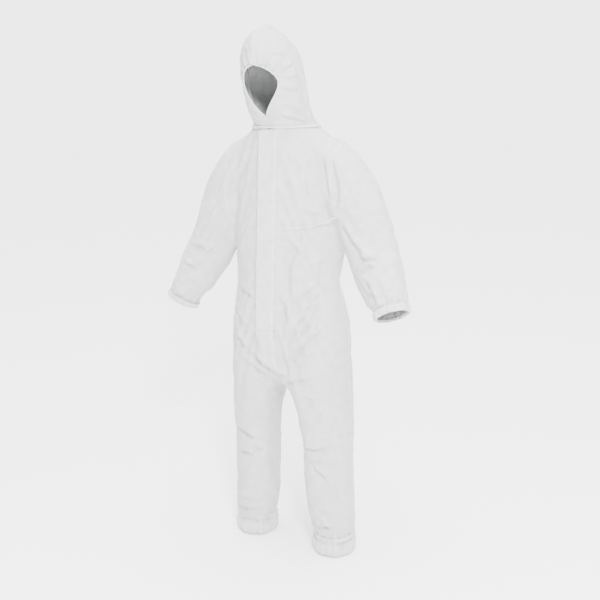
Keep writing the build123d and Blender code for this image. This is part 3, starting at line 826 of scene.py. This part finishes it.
def rolled_edge(name, loop, count, radius, pleats, depth_way, flat=1.0):
    """A rolled hem round a closed edge, gathered by its elastic."""
    path, t = even_loop(loop, count)
    for _ in range(3):
        path = 0.5 * path + 0.25 * (np.roll(path, 1, 0) + np.roll(path, -1, 0))
    way = np.roll(path, -1, 0) - np.roll(path, 1, 0)
    way /= np.linalg.norm(way, axis=1, keepdims=True)
    out = np.cross(way, np.broadcast_to(depth_way, way.shape))
    out /= np.linalg.norm(out, axis=1, keepdims=True)
    wave = np.cos(pleats * t + 1.3 * np.sin(3 * t))
    rows = []
    for k in range(13):
        a = 2 * np.pi * k / 12
        r = radius * (1 + 0.14 * wave)
        rows.append(path + out * (r * np.cos(a))[:, None]
                    + np.array(depth_way) * (r * flat * np.sin(a) + 0.15 * radius * wave)[:, None])
    points, faces = grid_between(rows[:-1], closed=True)
    for j in range(count):
        k = (j + 1) % count
        faces.append((11 * count + j, 11 * count + k, k, j))
    obj = mesh_object(name, points, faces)
    shade_smooth(obj)
    return obj


def ring_hem(name, centres, axes, radii, pleats, amplitudes, seed):
    """A gathered hem through rings: outer cloth, a rolled edge and the turned-in inside."""
    count = 300
    angle = np.linspace(0, 2 * np.pi, count, endpoint=False)
    rows = []
    u, v = axes
    wave = (0.6 * np.cos(pleats * angle + 2.2 * np.sin(3 * angle + seed)) + 0.5 * np.cos(7 * angle + seed)
            + 0.4 * np.cos((2 * pleats - 5) * angle + 1.7 * np.sin(4 * angle)))
    for centre, (a, b), amplitude in zip(centres, radii, amplitudes):
        grow = amplitude * wave
        sideways = np.outer((a + grow) * np.cos(angle), u)
        rows.append(np.array(centre) + sideways + np.outer((b + grow) * np.sin(angle), v))
    points, faces = grid_between(rows, closed=True)
    obj = mesh_object(name, points, faces)
    face_outward(obj)
    shade_smooth(obj)
    return obj


# height, radius beyond the hem's own, depth of the gathers
ANKLE_PROFILE = (
    (0.073, -0.0050, 0.0004), (0.067, -0.0040, 0.0006), (0.061, -0.0022, 0.0012), (0.057, -0.0034, 0.0022),
    (0.052, -0.0060, 0.0032), (0.046, -0.0045, 0.0032), (0.038, 0.0005, 0.0030), (0.028, 0.0020, 0.0030),
    (0.018, 0.0014, 0.0028), (0.010, -0.0004, 0.0026), (0.006, -0.0030, 0.0026), (0.0025, -0.0062, 0.0026),
    (0.0012, -0.0090, 0.0026), (0.0030, -0.0118, 0.0026), (0.010, -0.0125, 0.0026), (0.022, -0.0100, 0.0022),
)
# distance past the wrist, radius, depth of the gathers
CUFF_PROFILE = (
    (-0.020, 0.0595, 0.0012), (-0.015, 0.0600, 0.0022), (-0.011, 0.0575, 0.0028), (-0.008, 0.0560, 0.0030),
    (-0.004, 0.0572, 0.0030), (-0.001, 0.0568, 0.0028), (0.0008, 0.0545, 0.0026), (0.0006, 0.0520, 0.0024),
    (-0.002, 0.0505, 0.0022), (-0.008, 0.0500, 0.0020),
)


def ankle_hem(side):
    centres = [(side * 0.1627, 0, z) for z, _, _ in ANKLE_PROFILE]
    radii = [(0.0755 + grow, 0.0775 + grow) for _, grow, _ in ANKLE_PROFILE]
    depths = [depth for _, _, depth in ANKLE_PROFILE]
    flat = ((1, 0, 0), (0, 1, 0))
    return ring_hem(f"ankle_hem_cloth_{SIDES[side]}", centres, flat, radii, 23, depths, side)


def cuff_hem(side):
    wrist, way, u, v = wrist_frame(side)
    centres = [wrist + way * t for t, _, _ in CUFF_PROFILE]
    radii = [(r, r) for _, r, _ in CUFF_PROFILE]
    depths = [depth for _, _, depth in CUFF_PROFILE]
    return ring_hem(f"cuff_hem_cloth_{SIDES[side]}", centres, (u, v), radii, 17, depths, side)


# ---------------------------------------------------------------- storm flap
def flap_lift(x):
    """Height of the flap's outer face over the front, across its width."""
    lift = 0.0043 - 0.0039 * ramp(x, 0.0195, 0.0265)
    return lift - 0.0008 * (1 - ramp(x, -0.0400, -0.0365))


def make_flap(name, bottom, top, on_front):
    columns = np.r_[np.linspace(-0.040, -0.030, 9), np.linspace(-0.0285, 0.0175, 26),
                    np.linspace(0.0185, 0.0265, 9)]
    heights = np.arange(bottom, top + 1e-6, 0.0028)
    outer, inner = [], []
    for x in columns:
        groove = 0.0006 * (np.exp(-((x + 0.0345) / 0.0009) ** 2) + np.exp(-((x - 0.0205) / 0.0009) ** 2)
                           + 0.7 * np.exp(-((x + 0.001) / 0.0012) ** 2))
        wave = np.array([noise.noise(Vector((x * 30, 0.3, z * 26))) * 0.0008
                         + noise.noise(Vector((x * 60, 2.3, z * 70))) * 0.0004 for z in heights])
        line = on_front(x, heights)
        lift = flap_lift(x) - groove + wave * (1 - ramp(x, 0.018, 0.0265))
        lift = 0.0008 + (lift - 0.0008) * ramp(heights, 0.700, 0.735)
        lift = np.maximum(lift, 0.0004)
        outer.append(np.stack([np.full(len(heights), x), line - lift, heights], 1))
        thin = np.minimum(0.0007, lift * 0.8)
        inner.append(np.stack([np.full(len(heights), x), line - lift + thin, heights], 1))
    points, faces = grid_between(outer + inner[::-1])
    rows = len(outer)
    count = len(heights)
    for j in range(count - 1):
        faces.append(((2 * rows - 1) * count + j, (2 * rows - 1) * count + j + 1, j + 1, j))
    for i in range(rows - 1):
        m = 2 * rows - 1 - i
        faces.append((i * count, (i + 1) * count, (m - 1) * count, m * count))
        faces.append(tuple(k * count + count - 1 for k in (i, m, m - 1, i + 1)))
    obj = mesh_object(name, points, faces)
    face_outward(obj)
    shade_smooth(obj)
    return obj


# ---------------------------------------------------------------- materials
def put(node, values):
    """Sets a node's inputs by name."""
    for name, value in values.items():
        node.inputs[name].default_value = value
    return node


def new_material(name):
    material = bpy.data.materials.new(name)
    material.use_nodes = True
    nodes = material.node_tree.nodes
    return material, nodes, material.node_tree.links, nodes["Principled BSDF"]


def cloth_material(name, color, emboss=1.0):
    """Cloudy white nonwoven cloth with a dotted, fibrous face."""
    material, nodes, links, shader = new_material(name)
    put(shader, {"Roughness": 0.82, "Sheen Weight": 0.12, "Sheen Roughness": 0.5, "Specular IOR Level": 0.25})
    where = nodes.new("ShaderNodeTexCoord")
    cloud = put(nodes.new("ShaderNodeTexNoise"), {"Scale": 38, "Detail": 9})
    links.new(where.outputs["Object"], cloud.inputs["Vector"])
    tone = put(nodes.new("ShaderNodeMapRange"),
               {"From Min": 0.3, "From Max": 0.7, "To Min": 0.90, "To Max": 1.05})
    links.new(cloud.outputs["Fac"], tone.inputs["Value"])
    mix = nodes.new("ShaderNodeMix")
    mix.data_type = "RGBA"
    mix.blend_type = "MULTIPLY"
    put(mix, {"Factor": 1, "A": (*color, 1)})
    links.new(tone.outputs["Result"], mix.inputs["B"])
    links.new(mix.outputs["Result"], shader.inputs["Base Color"])
    dots = put(nodes.new("ShaderNodeTexVoronoi"), {"Scale": 420})
    links.new(where.outputs["Object"], dots.inputs["Vector"])
    fibre = put(nodes.new("ShaderNodeTexNoise"), {"Scale": 85, "Detail": 8, "Distortion": 1.2})
    links.new(where.outputs["Object"], fibre.inputs["Vector"])
    fine = put(nodes.new("ShaderNodeBump"), {"Strength": 0.20 * emboss, "Distance": 0.0006})
    links.new(dots.outputs["Distance"], fine.inputs["Height"])
    rough = put(nodes.new("ShaderNodeBump"), {"Strength": 0.8 * emboss, "Distance": 0.0030})
    links.new(fibre.outputs["Fac"], rough.inputs["Height"])
    links.new(fine.outputs["Normal"], rough.inputs["Normal"])
    links.new(rough.outputs["Normal"], shader.inputs["Normal"])
    return material


def plain_material(name, color, roughness, scale, bump):
    material, nodes, links, shader = new_material(name)
    put(shader, {"Base Color": (*color, 1), "Roughness": roughness})
    where = nodes.new("ShaderNodeTexCoord")
    grain = put(nodes.new("ShaderNodeTexNoise"), {"Scale": scale})
    links.new(where.outputs["Object"], grain.inputs["Vector"])
    relief = put(nodes.new("ShaderNodeBump"), {"Strength": bump, "Distance": 0.0005})
    links.new(grain.outputs["Fac"], relief.inputs["Height"])
    links.new(relief.outputs["Normal"], shader.inputs["Normal"])
    return material


# ---------------------------------------------------------------- the suit is put together
skin = base_skin(0.010)
cut_open(skin)
mark_arms(skin)
wear(skin)
relaxed(skin, 1, np.ones(len(skin.data.vertices)))
divide = skin.modifiers.new("divide", "SUBSURF")
divide.levels = divide.render_levels = 1
applied(skin)
detail(skin)
seams = all_seams(tree_of(skin))
seam_tree = tree_of(skin)
cut_slot(skin)

CLOTH = cloth_material("nonwoven", (0.54, 0.545, 0.55))
WELT = cloth_material("welt", (0.66, 0.665, 0.67), 0.6)
for material in (CLOTH, WELT):
    skin.data.materials.append(material)
seams.data.materials.append(WELT)
joined(skin, seams)
shade_smooth(skin)
skin.data.update()

ARM_START, ARM_END = 0.2125, 0.2425
HIP_WAY = np.array((0.651, 0.0, -0.759))
HIP_START, HIP_LENGTH = -0.4706, 0.09


def split_skin():
    mesh = skin.data
    points = get_points(skin)
    normals = get_normals(skin)
    x, _, z = points.T
    arm = obj_arm(skin).copy()
    arm[(np.abs(x) > 0.212) & (z > 1.0)] = 1
    arm[(np.abs(x) > 0.27) & (z > 0.8)] = 1
    shoulder = (np.abs(x) - ARM_START) / (ARM_END - ARM_START)
    hip = (HIP_WAY[0] * np.abs(x) + HIP_WAY[2] * z - HIP_START) / HIP_LENGTH
    groups = {}
    for k, polygon in enumerate(mesh.polygons):
        ids = list(polygon.vertices)
        side = SIDES[1] if x[ids].mean() > 0 else SIDES[-1]
        if arm[ids].max() > 0.49 and shoulder[ids].max() > 0:
            name = f"sleeve_{side}" if shoulder[ids].min() >= 1 else f"shoulder_{side}"
        elif z[ids].mean() < 0.86 and hip[ids].max() > 0:
            name = f"leg_{side}" if hip[ids].min() >= 1 else f"hip_{side}"
        else:
            name = "body"
        groups.setdefault(name, []).append(k)
    out = {}
    for name, keep in groups.items():
        out[name] = piece(skin, f"{name}_cloth", keep, normals)
        out[name].data.materials.append(CLOTH)
        out[name].data.materials.append(WELT)
    bpy.data.objects.remove(skin)
    return out


pieces = split_skin()
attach(pieces["body"], "torso")
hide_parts("front_panel_left", "front_panel_right", "chest_panel_left", "chest_panel_right",
            "back_panel", "back_yoke", "waist_elastic")
for s, side in SIDES.items():
    elbow, wrist = np.array(ELBOW[s]), np.array(WRIST[s])
    lower = unit(wrist - elbow)
    bisector = unit(unit(elbow - arm_top(s)) + lower)
    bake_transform(pieces[f"shoulder_{side}"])
    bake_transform(pieces[f"sleeve_{side}"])
    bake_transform(pieces[f"hip_{side}"])
    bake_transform(pieces[f"leg_{side}"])
    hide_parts(f"shoulder_section_{side}")
    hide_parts(f"upper_sleeve_{side}", f"elbow_section_{side}",
                f"lower_sleeve_{side}")
    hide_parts(f"thigh_{side}", f"knee_section_{side}", f"shin_{side}")
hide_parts("seat_section")

HEM_CLOTH = cloth_material("hem_cloth", (0.60, 0.605, 0.61), 0.8)
for s, side in SIDES.items():
    for hem, body, place in ((ankle_hem(s), f"shin_{side}", "ankle"),
                             (cuff_hem(s), f"lower_sleeve_{side}", "cuff")):
        hem.data.materials.append(HEM_CLOTH)
        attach(hem, body)
        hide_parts(f"{place}_hem_{side}", f"{place}_elastic_{side}")

hood = make_hood()
face_edge = edge_loop(hood, lambda c: c.z > 1.50)
hood.data.materials.append(CLOTH)
face_roll = rolled_edge("face_hem_cloth", face_edge, 420, 0.0026, 60, FACE_NORMAL)
face_roll.data.materials.append(HEM_CLOTH)
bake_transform(hood)
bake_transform(face_roll)
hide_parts("hood_panel_left", "hood_panel_right", "collar_section")
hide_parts("face_hem", "face_elastic")

# a sewn welt covers the joint of hood and body
ring = np.linspace(0, 2 * np.pi, 160, endpoint=False)
neck_line = np.stack([0.1135 * np.cos(ring), -0.0055 + 0.1045 * np.sin(ring), 1.4865 + 0 * ring], 1)
collar = rolled_edge("collar_seam", neck_line, 300, 0.0024, 20, (0, 0, 1), 1.3)
collar.data.materials.append(WELT)
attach(collar, "torso")


def straight_front(x, z):
    return front_y(z) + 0 * x


def seat_front(x, z):
    out = []
    for height in z:
        hit = seam_tree.ray_cast(Vector((x, -0.5, height)), Vector((0, 1, 0)))[0]
        out.append(hit.y if hit else -0.15)
    out = np.array(out)
    out += ramp(z, 0.79, 0.83) * (straight_front(x, z) - out)
    for _ in range(12):
        out[1:-1] = 0.5 * out[1:-1] + 0.25 * (out[:-2] + out[2:])
    return out


flap = make_flap("storm_flap_cloth", 0.836, 1.4795, straight_front)
flap.data.materials.append(HEM_CLOTH)
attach(flap, "storm_flap")
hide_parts("storm_flap")
tail = make_flap("flap_tail_cloth", 0.7012, 0.8357, seat_front)
tail.data.materials.append(HEM_CLOTH)
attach(tail, "torso")
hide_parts("flap_tail")

TAPE = plain_material("zip_tape", (0.80, 0.81, 0.82), 0.85, 900, 0.3)
PLASTIC = plain_material("zip_plastic", (0.84, 0.85, 0.86), 0.35, 200, 0.03)
for name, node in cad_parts.items():
    if name.startswith("zip"):
        node.data.materials.clear()
        node.data.materials.append(TAPE if "tape" in name else PLASTIC)
        "zip_tape" if "tape" in name else "zip_plastic"

# ---------------------------------------------------------------- stage and light
def make_stage():
    bpy.ops.mesh.primitive_plane_add(size=60, location=(0, 0, -0.001))
    floor = bpy.context.object
    floor.name = "floor"
    material, _, _, shader = new_material("floor")
    put(shader, {"Base Color": (0.97, 0.97, 0.97, 1), "Roughness": 0.9})
    floor.data.materials.append(material)
    world = bpy.data.worlds.new("studio")
    world.use_nodes = True
    nodes, links = world.node_tree.nodes, world.node_tree.links
    back = put(nodes["Background"], {"Color": (1, 1, 1, 1)})
    # bright overhead, as from a large ceiling softbox, and an even backdrop to the camera
    where = nodes.new("ShaderNodeTexCoord")
    split = nodes.new("ShaderNodeSeparateXYZ")
    links.new(where.outputs["Generated"], split.inputs[0])
    power = nodes.new("ShaderNodeMath")
    power.operation = "POWER"
    power.inputs[1].default_value = 8
    links.new(split.outputs["Z"], power.inputs[0])
    overhead = put(nodes.new("ShaderNodeMapRange"), {"To Min": WORLD_SIDE, "To Max": WORLD_TOP})
    links.new(power.outputs[0], overhead.inputs["Value"])
    path = nodes.new("ShaderNodeLightPath")
    pick = nodes.new("ShaderNodeMix")
    links.new(path.outputs["Is Camera Ray"], pick.inputs[0])
    links.new(overhead.outputs["Result"], pick.inputs[2])
    pick.inputs[3].default_value = WORLD_SEEN
    links.new(pick.outputs[0], back.inputs["Strength"])
    bpy.context.scene.world = world


def area_light(name, place, target, size, power):
    data = bpy.data.lights.new(name, "AREA")
    data.shape = "SQUARE"
    data.size = size
    data.energy = power
    light = bpy.data.objects.new(name, data)
    bpy.context.scene.collection.objects.link(light)
    light.location = place
    light.rotation_euler = (Vector(target) - Vector(place)).to_track_quat("-Z", "Y").to_euler()


WORLD_SIDE, WORLD_TOP, WORLD_SEEN = 0.55, 20.0, 4.2
make_stage()
area_light("key", (2.1, -2.5, 3.3), (0, 0, 1.15), 0.7, 420)
